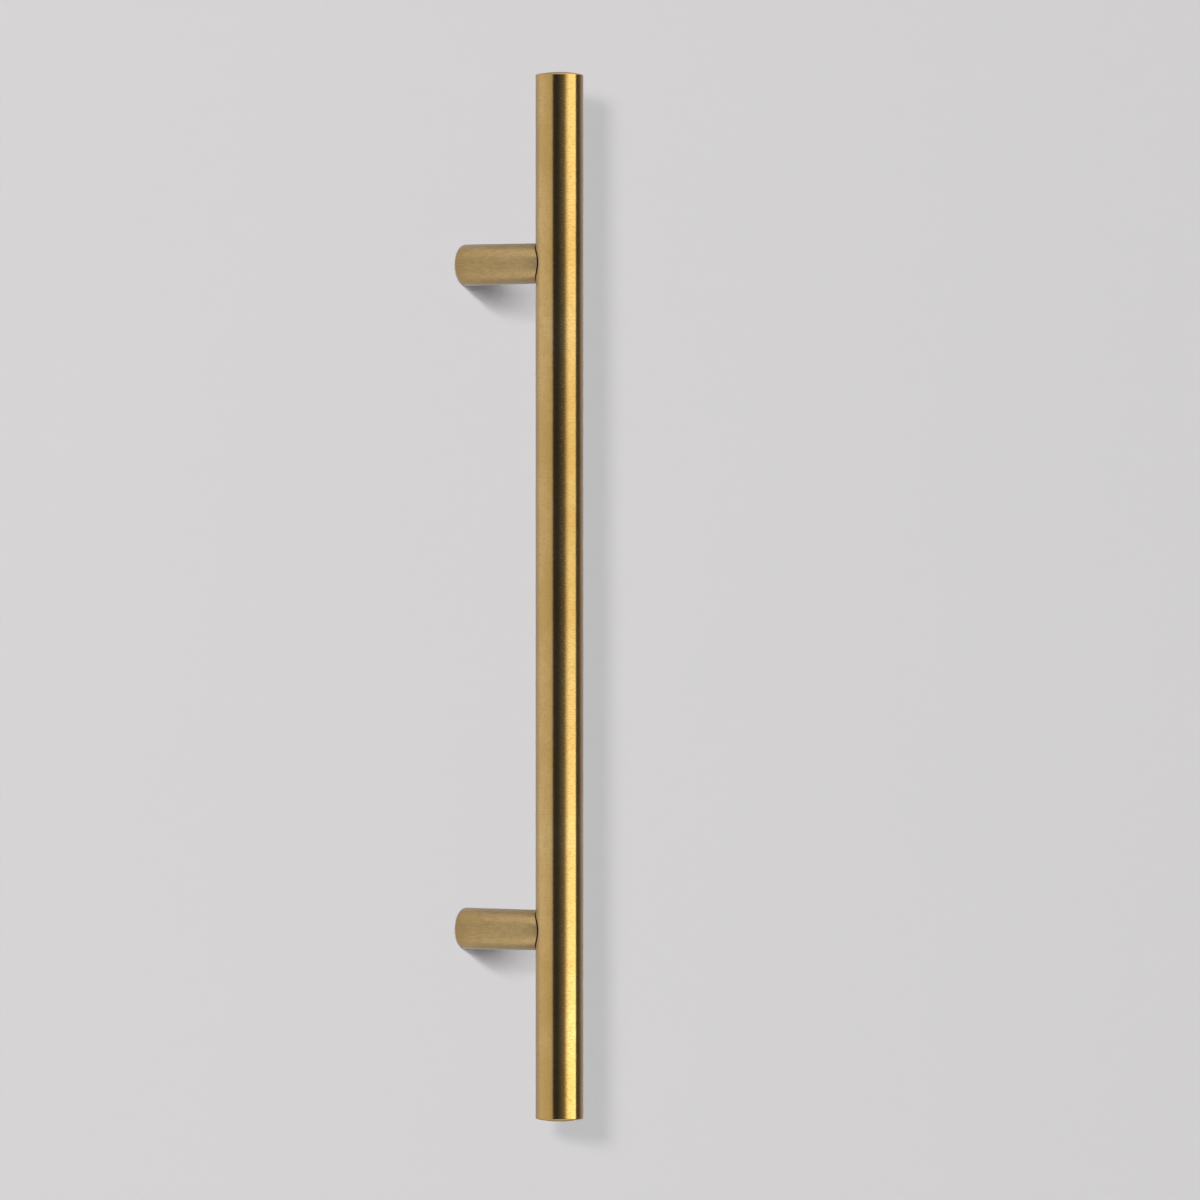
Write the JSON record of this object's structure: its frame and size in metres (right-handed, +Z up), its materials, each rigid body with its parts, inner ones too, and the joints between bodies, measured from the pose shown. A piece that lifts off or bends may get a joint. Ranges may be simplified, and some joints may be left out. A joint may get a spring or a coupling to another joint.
{
  "type": "door pull handle",
  "caption": "Straight round brass bar pull on round posts with coped saddles, screwed to a door through tapped holes in the feet.",
  "frame": {"origin": "on the mounting face that lies against the door, midway between the two fixing holes", "axes": "+Z up along the bar, +Y into the door along the fixing holes, the bar on the -Y side"},
  "size_m": [0.016, 0.045, 0.352],
  "materials": {
    "bar_brass": "polished and lightly aged",
    "post_brass": "satin, aged and slightly mottled",
    "stud_steel": "plain steel"
  },
  "bodies": {
    "root": {"bar": "bar_brass", "upper_post": "post_brass", "lower_post": "post_brass", "upper_stud": "stud_steel", "lower_stud": "stud_steel"}
  },
  "joints": []
}
